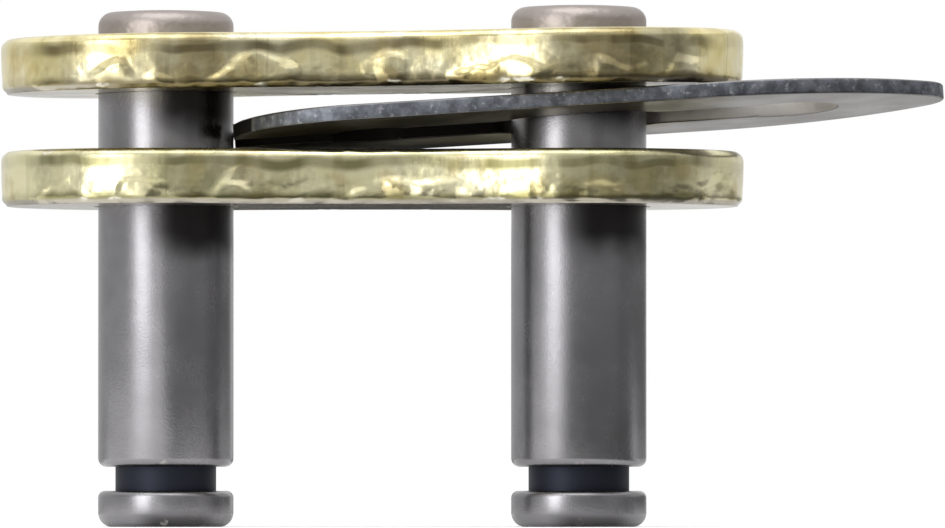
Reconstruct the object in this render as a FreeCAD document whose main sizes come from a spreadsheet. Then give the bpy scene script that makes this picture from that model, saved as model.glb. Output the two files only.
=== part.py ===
# Connecting link of a 5/8 inch pitch roller chain, of the kind closed by a spring clip.
# Both pins are riveted into the fixed plate. The loose plate is a slip fit on their free ends,
# where the clip snaps into two grooves. Here the loose plate is pushed up the pins, and the clip
# lies tilted on it, over the right pin.
# Millimetres. Z runs up the pins and X from pin to pin. The origin is midway between the pins,
# level with their free ends.
import FreeCAD, Part
import math
import os
import Sketcher

# Name of each size, its value, and what it measures.
SIZES = [
    ("pitch", 15.875, "distance between the axes of the pins, and of the seats in the clip"),
    ("pin_diameter", 5.2, "outside of the pins"),
    ("left_pin_length", 19.85, "left pin, end to end"),
    ("right_pin_length", 20.05, "right pin, which stands a little further out of its plate"),
    ("end_head_height", 1.38, "head below the groove, at the free end of a pin"),
    ("groove_width", 0.93, "clip groove, along the pin"),
    ("groove_diameter", 3.87, "pin at the bottom of the clip groove"),
    ("end_rounding", 0.4, "rim of the free end"),
    ("head_chamfer", 0.12, "upper rim of the end head"),
    ("shank_chamfer", 0.25, "rim of the shank above the groove"),
    ("rivet_rounding", 0.45, "rim of the riveted end"),
    ("rivet_crown", 0.12, "rise of the riveted end from its rim to its middle"),
    ("plate_height", 12.7, "plate across a lobe"),
    ("waist_height", 9.9, "plate across its waist"),
    ("plate_thickness", 2.1, "both plates"),
    ("plate_edge", 0.24, "width of the tumbled edge of the plates"),
    ("fixed_plate_level", 16.78, "underside of the fixed plate, midway between the pins"),
    ("fixed_plate_lean", 0.75, "rise of the fixed plate to the right, in degrees"),
    ("loose_plate_level", 12.3, "underside of the loose plate"),
    ("slip_clearance", 0.05, "gap all round a pin in the loose plate"),
    ("bore_chamfer", 0.2, "mouths of the bores in the loose plate"),
    ("clip_width", 10.45, "clip across its legs"),
    ("clip_thickness", 0.6, "spring steel strip of the clip"),
    ("nose_reach", 14.05, "closed end of the clip, from the middle of its opening"),
    ("nose_radius", 2.2, "tip of the closed end"),
    ("taper_start", 5.0, "start of the clip's taper to its closed end, from the middle"),
    ("mouth_reach", 13.35, "open end of the clip, from the middle of its opening"),
    ("corner_offset", 0.5, "centres of the open end's round corners, beside the middle line"),
    ("seat_clearance", 0.065, "gap all round a groove in a seat of the clip"),
    ("neck_width", 3.4, "slot between the legs, from the opening to the seats"),
    ("opening_width", 5.6, "middle opening of the clip, which passes over a pin"),
    ("opening_length", 3.2, "stretch of the opening at its full width"),
    ("opening_taper", 1.45, "length over which the opening narrows to the slot"),
    ("mouth_throat", 2.6, "width of the mouth, if it began at the middle of the open seat"),
    ("mouth_width", 2.4, "mouth between the tips of the legs"),
    ("tip_rounding", 0.35, "tips of the legs"),
    ("slot_rounding", 0.3, "corners of the openings in the clip"),
    ("clip_edge", 0.08, "width of the sheared edge of the clip"),
    ("clip_tilt", 6.4, "angle of the clip to the loose plate, in degrees"),
    ("clip_low_bearing", 123.8, "direction in which the clip slopes down, in degrees from +X"),
    ("clip_seat_gap", 0.03, "lowest edge of the clip above the loose plate"),
]

# Measurements closer than this are equal.
TOLERANCE = 0.0001

# Sketcher's numbers for its origin and axes, and for the ends and the centre of a curve.
ORIGIN, H_AXIS, V_AXIS = -1, -1, -2
START, END, CENTRE = range(1, 4)

doc = FreeCAD.newDocument("connecting_link")


def make_sheet():
    """Spreadsheet with one named size in each row."""
    sheet = doc.addObject("Spreadsheet::Sheet", "dim")
    for row, (name, value, meaning) in enumerate(SIZES, 1):
        sheet.set("A%d" % row, name)
        sheet.set("B%d" % row, str(value))
        sheet.set("C%d" % row, meaning)
        sheet.setAlias("B%d" % row, name)
    doc.recompute()
    return sheet


dim = make_sheet()


def start_body(label):
    """Empty body with the name of its piece."""
    body = doc.addObject("PartDesign::Body", label)
    body.Label = label
    return body


def start_sketch(body, plane, name):
    """Empty sketch on one of the body's own origin planes."""
    sketch = body.newObject("Sketcher::SketchObject", name)
    planes = [feature for feature in body.Origin.OriginFeatures if feature.Role == plane]
    sketch.AttachmentSupport = [(planes[0], "")]
    sketch.MapMode = "FlatFace"
    return sketch


def value(sketch, formula):
    """Number that a formula of the sheet's sizes gives."""
    return float(sketch.evalExpression(formula))


def hold(sketch, kind, formula, *ends):
    """Dimension of a sketch, bound to a formula of the sheet's sizes."""
    number = sketch.addConstraint(Sketcher.Constraint(kind, *ends, value(sketch, formula)))
    name = "size%d" % number
    sketch.renameConstraint(number, name)
    sketch.setExpression("Constraints." + name, formula)


def hold_point(sketch, curve, end, x, y):
    """Place of one point of a sketch from its origin, by two formulas."""
    if x == "0":
        sketch.addConstraint(Sketcher.Constraint("PointOnObject", curve, end, V_AXIS))
    else:
        hold(sketch, "DistanceX", x, ORIGIN, START, curve, end)
    if y == "0":
        sketch.addConstraint(Sketcher.Constraint("PointOnObject", curve, end, H_AXIS))
    else:
        hold(sketch, "DistanceY", y, ORIGIN, START, curve, end)


def draw_polygon(sketch, corners, crown=None):
    """Closed outline from the formulas of its corners.

    Its sides are straight, apart from one that crowns a turned end, given by the formula of its
    rise: it runs from the rim to the axis, as an arc about a point of the axis.
    """
    points = [FreeCAD.Vector(value(sketch, x), value(sketch, y), 0) for x, y in corners]
    for start, end in zip(points, points[1:] + points[:1]):
        if crown is not None and end == points[-1]:
            rise = value(sketch, crown)
            radius = (start.x**2 + rise**2) / (2 * rise)
            centre = FreeCAD.Vector(0, end.y - radius, 0)
            circle = Part.Circle(centre, FreeCAD.Vector(0, 0, 1), radius)
            side = sketch.addGeometry(
                Part.ArcOfCircle(circle, math.acos(start.x / radius), math.pi / 2)
            )
            sketch.addConstraint(Sketcher.Constraint("PointOnObject", side, CENTRE, V_AXIS))
        else:
            sketch.addGeometry(Part.LineSegment(start, end))
    last = len(corners) - 1
    for side, (x, y) in enumerate(corners):
        before = last if side == 0 else side - 1
        sketch.addConstraint(Sketcher.Constraint("Coincident", before, END, side, START))
        hold_point(sketch, side, START, x, y)


def draw_circle(sketch, x, y, radius):
    """Circle, from the formulas of its centre and radius."""
    centre = FreeCAD.Vector(value(sketch, x), value(sketch, y), 0)
    circle = Part.Circle(centre, FreeCAD.Vector(0, 0, 1), value(sketch, radius))
    number = sketch.addGeometry(circle)
    hold_point(sketch, number, CENTRE, x, y)
    hold(sketch, "Radius", radius, number)


def pad(body, name, sketch, thickness):
    """Solid of a sketch's outline, half of it on each side of the sketch's plane."""
    feature = body.newObject("PartDesign::Pad", name)
    feature.Profile = sketch
    feature.Midplane = True
    feature.setExpression("Length", thickness)
    doc.recompute()
    return feature


def pierce(body, name, sketch):
    """Opening with a sketch's outline, right through the body."""
    feature = body.newObject("PartDesign::Pocket", name)
    feature.Profile = sketch
    feature.Type = "ThroughAll"
    feature.Midplane = True
    doc.recompute()
    return feature


def dress(body, kind, name, base, edges, size):
    """Fillet or chamfer on the named edges of a feature."""
    feature = body.newObject(kind, name)
    feature.Base = (base, edges)
    feature.setExpression("Radius" if kind == "PartDesign::Fillet" else "Size", size)
    doc.recompute()
    return feature


def rings(feature, radius, level=None):
    """Names of the circular edges of one radius, at one level if that is given."""
    names = []
    for number, edge in enumerate(feature.Shape.Edges, 1):
        if edge.Degenerated or edge.Curve.TypeId != "Part::GeomCircle":
            continue
        same_size = abs(edge.Curve.Radius - radius) < TOLERANCE
        if same_size and (level is None or abs(edge.Curve.Center.z - level) < TOLERANCE):
            names.append("Edge%d" % number)
    return names


def corners_between(feature, low_x, high_x, half_width):
    """Names of the straight edges along Z between two values of X, inside a half width."""
    names = []
    for number, edge in enumerate(feature.Shape.Edges, 1):
        start = edge.Vertexes[0].Point
        end = edge.Vertexes[-1].Point
        upright = abs(abs(end.z - start.z) - edge.Length) < TOLERANCE
        inside = low_x < start.x < high_x and TOLERANCE < abs(start.y) < half_width - TOLERANCE
        if upright and inside:
            names.append("Edge%d" % number)
    return names


def level_faces(feature):
    """Names of the flat faces square to Z."""
    faces = enumerate(feature.Shape.Faces, 1)
    return ["Face%d" % number for number, face in faces if face.BoundBox.ZLength < TOLERANCE]


def draw_plate_outline(sketch):
    """Two round lobes, one about each pin, joined by two hollow arcs at the waist."""
    half_pitch = value(sketch, "dim.pitch / 2")
    lobe = value(sketch, "dim.plate_height / 2")
    half_waist = value(sketch, "dim.waist_height / 2")
    hollow_formula = (
        "((dim.pitch / 2)^2 + (dim.waist_height / 2)^2 - (dim.plate_height / 2)^2)"
        " / (dim.plate_height - dim.waist_height)"
    )
    hollow = value(sketch, hollow_formula)
    centre_y = half_waist + hollow
    turn = math.atan2(centre_y, half_pitch)
    up = FreeCAD.Vector(0, 0, 1)

    def arc(x, y, radius, start, end):
        circle = Part.Circle(FreeCAD.Vector(x, y, 0), up, radius)
        return sketch.addGeometry(Part.ArcOfCircle(circle, start, end))

    right = arc(half_pitch, 0, lobe, turn - math.pi, math.pi - turn)
    top = arc(0, centre_y, hollow, turn - math.pi, -turn)
    left = arc(-half_pitch, 0, lobe, turn, 2 * math.pi - turn)
    bottom = arc(0, -centre_y, hollow, turn, math.pi - turn)
    for one, one_end, other, other_end in (
        (right, END, top, END),
        (top, START, left, START),
        (left, END, bottom, END),
        (bottom, START, right, START),
    ):
        sketch.addConstraint(Sketcher.Constraint("Tangent", one, one_end, other, other_end))
    hold_point(sketch, right, CENTRE, "dim.pitch / 2", "0")
    sketch.addConstraint(Sketcher.Constraint("Symmetric", left, CENTRE, right, CENTRE, ORIGIN, START))
    hold(sketch, "Radius", "dim.plate_height / 2", right)
    sketch.addConstraint(Sketcher.Constraint("Equal", right, left))
    hold(sketch, "Radius", hollow_formula, top)
    sketch.addConstraint(Sketcher.Constraint("Equal", top, bottom))


def turn(thing, place, axis, angle):
    """Rotation of a body, or of a sketch on its plane, by formulas for the axis and the angle."""
    for letter, part in zip("xyz", axis):
        thing.setExpression("%s.Rotation.Axis.%s" % (place, letter), part)
    thing.setExpression(place + ".Rotation.Angle", angle)


def make_plate(label, level, bore, lean="0 deg"):
    """Blanked outer plate, its edges tumbled round. Its bores stay upright if the plate leans."""
    body = start_body(label)
    body.setExpression("Placement.Base.z", level + " + dim.plate_thickness / 2")
    turn(body, "Placement", "010", "-" + lean)
    blank = start_sketch(body, "XY_Plane", label + "_outline")
    draw_plate_outline(blank)
    plate = pad(body, label + "_blank", blank, "dim.plate_thickness")
    faces = level_faces(plate)
    dress(body, "PartDesign::Chamfer", label + "_edges", plate, faces, "dim.plate_edge")
    circles = start_sketch(body, "XY_Plane", label + "_bores")
    turn(circles, "AttachmentOffset", "010", lean)
    draw_circle(circles, "-dim.pitch / 2", "0", bore)
    draw_circle(circles, "dim.pitch / 2", "0", bore)
    return body, pierce(body, label + "_pierced", circles)


def make_fixed_plate():
    """Upper plate. The pins fill its bores, which they were pressed and riveted into."""
    lean = "(dim.fixed_plate_lean * 1 deg)"
    body, _ = make_plate("fixed_plate", "dim.fixed_plate_level", "dim.pin_diameter / 2", lean)
    return body


def make_loose_plate():
    """Lower plate, a slip fit on the pins, with a lead-in at both ends of each bore."""
    bore = "dim.pin_diameter / 2 + dim.slip_clearance"
    body, pierced = make_plate("loose_plate", "dim.loose_plate_level", bore)
    mouths = rings(pierced, value(pierced, bore))
    dress(body, "PartDesign::Chamfer", "loose_plate_mouths", pierced, mouths, "dim.bore_chamfer")
    return body


def make_pin(label, side, length):
    """Turned pin with a clip groove near its free end and a riveted upper end."""
    body = start_body(label)
    body.setExpression("Placement.Base.x", side + "dim.pitch / 2")
    half = start_sketch(body, "XZ_Plane", label + "_half")
    outside = "dim.pin_diameter / 2"
    root = "dim.groove_diameter / 2"
    groove_top = "dim.end_head_height + dim.groove_width"
    rivet_rim = length + " - dim.rivet_crown"
    profile = [
        ("0", "0"),
        (outside, "0"),
        (outside, "dim.end_head_height"),
        (root, "dim.end_head_height"),
        (root, groove_top),
        (outside, groove_top),
        (outside, rivet_rim),
        ("0", length),
    ]
    draw_polygon(half, profile, crown="dim.rivet_crown")
    turned = body.newObject("PartDesign::Revolution", label + "_turned")
    turned.Profile = half
    turned.ReferenceAxis = (half, ["V_Axis"])
    doc.recompute()
    radius = value(turned, outside)
    rims = (
        ("end", "0", "PartDesign::Fillet", "dim.end_rounding"),
        ("head", "dim.end_head_height", "PartDesign::Chamfer", "dim.head_chamfer"),
        ("shank", groove_top, "PartDesign::Chamfer", "dim.shank_chamfer"),
        ("rivet", rivet_rim, "PartDesign::Fillet", "dim.rivet_rounding"),
    )
    for name, level, kind, size in rims:
        rim = rings(turned, radius, value(turned, level))
        turned = dress(body, kind, label + "_" + name, turned, rim, size)
    return body


def draw_clip_outline(sketch):
    """Straight legs, rounded at the open end and drawn in by long arcs to a round nose."""
    corner_radius = "(dim.clip_width / 2 - dim.corner_offset)"
    nose_centre = "dim.nose_reach - dim.nose_radius"
    corner_centre = corner_radius + " - dim.mouth_reach"
    half_width = value(sketch, "dim.clip_width / 2")
    nose_x = value(sketch, nose_centre)
    nose_radius = value(sketch, "dim.nose_radius")
    taper_x = value(sketch, "dim.taper_start")
    corner_x = value(sketch, corner_centre)
    corner_y = value(sketch, "dim.corner_offset")
    radius = value(sketch, corner_radius)
    end_x = corner_x - radius

    # The taper's arc leaves the leg smoothly and runs smoothly into the nose.
    reach = nose_x - taper_x
    taper_radius = (reach**2 + half_width**2 - nose_radius**2) / (2 * (half_width - nose_radius))
    taper_y = half_width - taper_radius
    turned = math.atan2(-taper_y, reach)
    right_angle = math.pi / 2
    up = FreeCAD.Vector(0, 0, 1)

    def arc(x, y, radius, start, end):
        circle = Part.Circle(FreeCAD.Vector(x, y, 0), up, radius)
        return sketch.addGeometry(Part.ArcOfCircle(circle, start, end))

    def line(x, y, end_x, end_y):
        ends = FreeCAD.Vector(x, y, 0), FreeCAD.Vector(end_x, end_y, 0)
        return sketch.addGeometry(Part.LineSegment(*ends))

    nose = arc(nose_x, 0, nose_radius, -turned, turned)
    back_taper = arc(taper_x, taper_y, taper_radius, turned, right_angle)
    back_leg = line(taper_x, half_width, corner_x, half_width)
    back_corner = arc(corner_x, corner_y, radius, right_angle, 2 * right_angle)
    open_end = line(end_x, corner_y, end_x, -corner_y)
    front_corner = arc(corner_x, -corner_y, radius, 2 * right_angle, 3 * right_angle)
    front_leg = line(corner_x, -half_width, taper_x, -half_width)
    front_taper = arc(taper_x, -taper_y, taper_radius, -right_angle, -turned)
    outline = [nose, back_taper, back_leg, back_corner, open_end]
    outline += [front_corner, front_leg, front_taper]
    for one, other in zip(outline, outline[1:] + outline[:1]):
        sketch.addConstraint(Sketcher.Constraint("Tangent", one, END, other, START))
    hold_point(sketch, nose, CENTRE, nose_centre, "0")
    hold(sketch, "Radius", "dim.nose_radius", nose)
    hold(sketch, "DistanceX", "dim.taper_start", ORIGIN, START, back_taper, CENTRE)
    hold(sketch, "DistanceX", corner_centre, ORIGIN, START, back_corner, CENTRE)
    hold(sketch, "Radius", corner_radius, back_corner)
    hold(sketch, "DistanceY", "dim.clip_width / 2", ORIGIN, START, back_leg, START)
    hold(sketch, "DistanceY", "-dim.clip_width / 2", ORIGIN, START, front_leg, START)
    for leg in (back_leg, front_leg):
        sketch.addConstraint(Sketcher.Constraint("Horizontal", leg))
    sketch.addConstraint(Sketcher.Constraint("Vertical", open_end))
    sketch.addConstraint(Sketcher.Constraint("Equal", back_corner, front_corner))
    sketch.addConstraint(Sketcher.Constraint("Equal", back_taper, front_taper))


def draw_clip_slot(sketch):
    """Slot between the seats, widened in the middle to pass over a pin."""
    full = "dim.opening_length / 2"
    narrow = "(dim.opening_length / 2 + dim.opening_taper)"
    wide_y = "dim.opening_width / 2"
    neck_y = "dim.neck_width / 2"
    quarter = [(full, wide_y), (narrow, neck_y), ("dim.pitch / 2", neck_y)]
    right = quarter + [(x, "-" + y) for x, y in reversed(quarter)]
    left = [("-" + x, "-" + y) for x, y in quarter] + [("-" + x, y) for x, y in reversed(quarter)]
    draw_polygon(sketch, right + left)


def draw_clip_mouth(sketch):
    """Mouth that widens from the open seat to the tips of the legs."""
    throat_y = "dim.mouth_throat / 2"
    tip_y = "dim.mouth_width / 2"
    corners = [
        ("-dim.pitch / 2", "-" + throat_y),
        ("-dim.pitch / 2", throat_y),
        ("-dim.mouth_reach", tip_y),
        ("-dim.mouth_reach", "-" + tip_y),
    ]
    draw_polygon(sketch, corners)


def tilt_clip(body):
    """Lays the clip over the right pin, with its lowest edge on the loose plate."""
    tilt = "(dim.clip_tilt * 1 deg)"
    bearing = "(dim.clip_low_bearing * 1 deg)"
    radius = "(dim.clip_width / 2 - dim.corner_offset)"
    along = "(dim.mouth_reach - %s) * cos%s" % (radius, bearing)
    lowest_reach = "(%s - %s + dim.corner_offset * sin%s)" % (radius, along, bearing)
    drop = "sin%s * %s + cos%s * dim.clip_thickness / 2" % (tilt, lowest_reach, tilt)
    top = "dim.loose_plate_level + dim.plate_thickness"
    body.setExpression("Placement.Base.x", "dim.pitch / 2")
    body.setExpression("Placement.Base.z", top + " + dim.clip_seat_gap + " + drop)
    turn(body, "Placement", ("-sin" + bearing, "cos" + bearing, "0"), tilt)


def make_spring_clip():
    """Clip stamped from spring strip: closed nose, two seats, middle opening and open mouth."""
    body = start_body("spring_clip")
    outline = start_sketch(body, "XY_Plane", "clip_outline")
    draw_clip_outline(outline)
    pad(body, "clip_strip", outline, "dim.clip_thickness")

    seats = start_sketch(body, "XY_Plane", "clip_seats")
    seat_radius = "dim.groove_diameter / 2 + dim.seat_clearance"
    draw_circle(seats, "-dim.pitch / 2", "0", seat_radius)
    draw_circle(seats, "dim.pitch / 2", "0", seat_radius)
    pierce(body, "clip_seated", seats)

    slot = start_sketch(body, "XY_Plane", "clip_slot")
    draw_clip_slot(slot)
    pierce(body, "clip_slotted", slot)

    mouth = start_sketch(body, "XY_Plane", "clip_mouth")
    draw_clip_mouth(mouth)
    opened = pierce(body, "clip_opened", mouth)

    half_width = value(opened, "dim.clip_width / 4")
    opening = value(opened, "dim.opening_width / 2")
    reach = value(opened, "dim.nose_reach")
    leg_start = value(opened, "-(dim.pitch + dim.groove_diameter) / 2 - dim.seat_clearance")
    tips = corners_between(opened, -reach, leg_start, half_width)
    tipped = dress(body, "PartDesign::Fillet", "clip_tips", opened, tips, "dim.tip_rounding")
    inner = corners_between(tipped, leg_start, reach, opening + 2 * TOLERANCE)
    eased = dress(body, "PartDesign::Fillet", "clip_corners", tipped, inner, "dim.slot_rounding")
    rims = level_faces(eased)
    dress(body, "PartDesign::Chamfer", "clip_rims", eased, rims, "dim.clip_edge")
    tilt_clip(body)
    return body


def check_model():
    """Stops the build if any object of the document has failed."""
    for thing in doc.Objects:
        if "Invalid" in thing.State or "Error" in thing.State:
            raise RuntimeError("%s has failed: %s" % (thing.Name, thing.State))


def write_piece(body):
    """Checks one piece and writes it to a file with its name."""
    shape = body.Shape
    if shape.isNull() or not shape.isValid() or len(shape.Solids) != 1:
        raise RuntimeError("%s is not one valid solid" % body.Label)
    shape.exportStep("parts/%s.step" % body.Label)
    print("%-12s %8.2f mm3" % (body.Label, shape.Volume))


pieces = [
    make_fixed_plate(),
    make_pin("left_pin", "-", "dim.left_pin_length"),
    make_pin("right_pin", "", "dim.right_pin_length"),
    make_loose_plate(),
    make_spring_clip(),
]
doc.recompute()
check_model()
os.makedirs("parts", exist_ok=True)
for piece in pieces:
    write_piece(piece)
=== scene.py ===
"""Looks of a roller chain connecting link: two plates, two pins and a spring clip.

The link stands on the free ends of its pins. Lengths are in metres, in the frame's own axes:
X from the left pin to the right pin, Z up along the pins, origin midway between the pins.
"""

import math

import bmesh
import bpy
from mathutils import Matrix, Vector


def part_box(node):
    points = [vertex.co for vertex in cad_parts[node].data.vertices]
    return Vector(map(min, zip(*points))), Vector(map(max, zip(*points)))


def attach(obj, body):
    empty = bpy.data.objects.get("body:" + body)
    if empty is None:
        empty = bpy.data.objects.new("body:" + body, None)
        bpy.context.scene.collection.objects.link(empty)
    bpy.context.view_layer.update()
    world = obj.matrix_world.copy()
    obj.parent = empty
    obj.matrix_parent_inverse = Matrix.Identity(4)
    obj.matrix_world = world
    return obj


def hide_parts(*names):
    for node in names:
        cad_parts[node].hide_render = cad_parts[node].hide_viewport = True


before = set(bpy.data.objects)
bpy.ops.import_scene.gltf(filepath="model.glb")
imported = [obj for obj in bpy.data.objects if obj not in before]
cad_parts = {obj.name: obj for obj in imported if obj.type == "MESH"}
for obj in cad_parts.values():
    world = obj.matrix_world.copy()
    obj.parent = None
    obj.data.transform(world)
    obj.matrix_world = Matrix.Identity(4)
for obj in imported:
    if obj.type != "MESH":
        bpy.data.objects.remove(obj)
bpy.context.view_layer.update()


# Pins
# Two case-hardened steel pins, turned, ground and burnished. Each has a clip groove above a short
# end head. The upper ends are pressed through the fixed plate and riveted to a low dome.

MM = 0.001
PITCH = 15.875 * MM
PIN_SIDES = 160
PIN_STEEL = (0.29, 0.284, 0.295, 1)
# The dark colour below is painted shade, laid below the plates and at the foot of each pin.
PIN_PAINTED_SHADE = (0.014, 0.012, 0.011, 1)
PIN_WORN_STEEL = (0.55, 0.53, 0.51, 1)
PEENED_STEEL = (0.36, 0.32, 0.3, 1)
# The black below is partly a blackened finish and partly painted shade of the groove's recess.
BLACK_FINISH_AND_SHADE = (0.03, 0.033, 0.045, 1)
PEENED_FROM = 18.6 * MM
# Levels of the painted shade below the plates, and how far it fades.
PAINTED_SHADE_LEVELS = ((11.5 * MM, 12.8 * MM), (16.3 * MM, 17.4 * MM))
PAINTED_SHADE_FADE = 1.5 * MM
GROOVE_BOTTOM = 1.38 * MM
GROOVE_TOP = 2.31 * MM
GROOVE_RADIUS = 1.935 * MM
BLACK_AND_SHADED_REACH = (2.25 * MM, 2.42 * MM)
FREE_END_ROUNDING = 0.52 * MM
HEAD_RIM_ROUNDING = 0.26 * MM
SHANK_RIM_ROUNDING = 0.32 * MM
RIVET_ROUNDING = 0.5 * MM
RIVET_CROWN = 0.12 * MM
RIVET_RINGS = 4
CLOSE = 0.002 * MM
SMOOTH_ANGLE = math.radians(40)
RIM_TURN = math.radians(60)


def open_mesh(name):
    """The primitive that was just added, named and open for editing, with all of it selected."""
    piece = bpy.context.object
    piece.name = name
    piece.data.name = name
    bpy.ops.object.mode_set(mode="EDIT")
    bpy.ops.mesh.select_mode(type="VERT")
    bpy.ops.mesh.select_all(action="SELECT")
    return piece


def pick(kind, test):
    """Selects those vertices, edges or faces of the open mesh that pass a test, and no others."""
    bpy.ops.mesh.select_mode(type=kind)
    bpy.ops.mesh.select_all(action="DESELECT")
    mesh = bpy.context.object.data
    shape = bmesh.from_edit_mesh(mesh)
    shape.normal_update()
    parts = {"VERT": shape.verts, "EDGE": shape.edges, "FACE": shape.faces}[kind]
    for part in parts:
        if test(part):
            part.select_set(True)
    bmesh.update_edit_mesh(mesh)


def close_mesh():
    """Merges doubles, turns the faces outwards, and shades smooth all but the level areas."""
    bpy.ops.mesh.select_mode(type="VERT")
    bpy.ops.mesh.select_all(action="SELECT")
    bpy.ops.mesh.remove_doubles(threshold=CLOSE)
    bpy.ops.mesh.normals_make_consistent(inside=False)
    bpy.ops.object.mode_set(mode="OBJECT")
    bpy.ops.object.shade_smooth_by_angle(angle=SMOOTH_ANGLE)
    bpy.ops.object.mode_set(mode="EDIT")
    pick("FACE", lambda face: abs(face.normal.z) > 0.9999)
    bpy.ops.mesh.faces_shade_flat()
    bpy.ops.object.mode_set(mode="OBJECT")


def draw_up(height):
    """Extrudes the selected face straight up."""
    bpy.ops.mesh.extrude_region_move(TRANSFORM_OT_translate={"value": (0, 0, height)})


def widen(factor, centre):
    """Extrudes the selected face in its own plane, to a larger or smaller size."""
    bpy.ops.mesh.extrude_region_move(TRANSFORM_OT_translate={"value": (0, 0, 0)})
    bpy.ops.transform.resize(value=(factor, factor, 1), center_override=centre)


def soften(kind, offset, segments):
    """Rounds the picked edges or vertices."""
    bpy.ops.mesh.bevel(
        offset_type="OFFSET",
        offset=offset,
        segments=segments,
        profile=0.5,
        affect=kind,
        clamp_overlap=False,
    )


def turn_pin(node):
    """One pin, drawn up ring by ring from its free end and then rounded at its rims."""
    low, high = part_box(node)
    radius = (high.x - low.x) / 2
    axis_x = (high.x + low.x) / 2
    rivet_rim = high.z - RIVET_CROWN
    bpy.ops.object.select_all(action="DESELECT")
    bpy.ops.mesh.primitive_circle_add(vertices=PIN_SIDES, radius=radius, fill_type="NGON")
    pin = open_mesh(node + "_turned")
    bpy.ops.transform.translate(value=(axis_x, 0, low.z))
    bpy.ops.mesh.select_mode(type="FACE")
    draw_up(GROOVE_BOTTOM - low.z)
    widen(GROOVE_RADIUS / radius, (axis_x, 0, GROOVE_BOTTOM))
    draw_up(GROOVE_TOP - GROOVE_BOTTOM)
    widen(radius / GROOVE_RADIUS, (axis_x, 0, GROOVE_TOP))
    draw_up(rivet_rim - GROOVE_TOP)
    ring_width = radius / (RIVET_RINGS + 0.5)
    rise = 0
    for ring in range(1, RIVET_RINGS + 1):
        outside = 1 - ring * ring_width / radius
        next_rise = RIVET_CROWN * (1 - outside**2)
        bpy.ops.mesh.inset(thickness=ring_width, depth=next_rise - rise)
        rise = next_rise
    rims = (
        (low.z, FREE_END_ROUNDING, 7),
        (GROOVE_BOTTOM, HEAD_RIM_ROUNDING, 4),
        (GROOVE_TOP, SHANK_RIM_ROUNDING, 5),
        (rivet_rim, RIVET_ROUNDING, 8),
    )
    for level, rounding, segments in rims:

        def on_rim(edge):
            places = [vertex.co for vertex in edge.verts]
            level_edge = all(abs(place.z - level) < CLOSE for place in places)
            out = [math.hypot(place.x - axis_x, place.y) for place in places]
            return level_edge and all(abs(reach - radius) < CLOSE for reach in out)

        pick("EDGE", on_rim)
        soften("EDGES", rounding, segments)
    pick("FACE", lambda face: len(face.verts) == PIN_SIDES and face.normal.z < 0)
    bpy.ops.mesh.inset(thickness=FREE_END_ROUNDING / 4, depth=0)
    close_mesh()
    return pin


def add_node(tree, kind, sockets=None, **settings):
    """Shader node with its settings, and with values or links for its input sockets."""
    node = tree.nodes.new("ShaderNode" + kind)
    for name, setting in settings.items():
        setattr(node, name, setting)
    for name, value in (sockets or {}).items():
        if isinstance(value, bpy.types.NodeSocket):
            tree.links.new(value, node.inputs[name])
        else:
            node.inputs[name].default_value = value
    return node


def ramp(tree, value, low, high):
    """Number from 0 to 1, as a value passes from one level to another."""
    sockets = {"Value": value, "From Min": low, "From Max": high}
    return add_node(tree, "MapRange", sockets, interpolation_type="SMOOTHSTEP").outputs["Result"]


def blend(tree, mask, one, other):
    """One colour where a mask is 0, and another where it is 1."""
    node = add_node(tree, "Mix", data_type="RGBA")
    for index, value in ((0, mask), (6, one), (7, other)):
        if isinstance(value, bpy.types.NodeSocket):
            tree.links.new(value, node.inputs[index])
        else:
            node.inputs[index].default_value = value
    return node.outputs[2]


def calculate(tree, operation, one, other):
    """Sum, product or the like of two numbers."""
    return add_node(tree, "Math", {0: one, 1: other}, operation=operation).outputs[0]


def unsigned(tree, value):
    """Number without its sign."""
    return add_node(tree, "Math", {0: value}, operation="ABSOLUTE").outputs[0]


def darker(colour, share):
    """Colour with a share of its light."""
    return tuple(part * share for part in colour[:3]) + (1,)


def place_on_piece(tree):
    """Object coordinates."""
    return add_node(tree, "TexCoord").outputs["Object"]


def stretched(tree, scale):
    """Object coordinates, scaled along each axis."""
    sockets = {"Vector": place_on_piece(tree), "Scale": scale}
    return add_node(tree, "Mapping", sockets).outputs["Vector"]


def split(tree, vector):
    """The X, Y and Z of a vector, each an output of its own."""
    return add_node(tree, "SeparateXYZ", {"Vector": vector}).outputs


def noise(tree, vector, scale, detail=2.0, roughness=0.5):
    """Cloudy pattern from 0 to 1."""
    sockets = {"Vector": vector, "Scale": scale, "Detail": detail, "Roughness": roughness}
    return add_node(tree, "TexNoise", sockets).outputs["Fac"]


def start_group(name, inputs, outputs):
    """Empty node group with number sockets. Gives its tree and the nodes for both ends."""
    tree = bpy.data.node_groups.new(name, "ShaderNodeTree")
    for socket, default in inputs:
        made = tree.interface.new_socket(socket, in_out="INPUT", socket_type="NodeSocketFloat")
        made.default_value = default
    for socket in outputs:
        tree.interface.new_socket(socket, in_out="OUTPUT", socket_type="NodeSocketFloat")
    return tree, tree.nodes.new("NodeGroupInput"), tree.nodes.new("NodeGroupOutput")


def make_metal_grain():
    """Fine grain and soft mottling of a worked metal surface."""
    inputs = (("Grain Scale", 9000.0), ("Mottle Scale", 900.0))
    tree, given, result = start_group("metal_grain", inputs, ("Grain", "Mottle"))
    place = place_on_piece(tree)
    grain = noise(tree, place, given.outputs["Grain Scale"], 3.0, 0.6)
    mottle = noise(tree, place, given.outputs["Mottle Scale"], 4.0, 0.55)
    tree.links.new(ramp(tree, grain, 0.3, 0.7), result.inputs["Grain"])
    tree.links.new(ramp(tree, mottle, 0.3, 0.7), result.inputs["Mottle"])
    return tree


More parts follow.
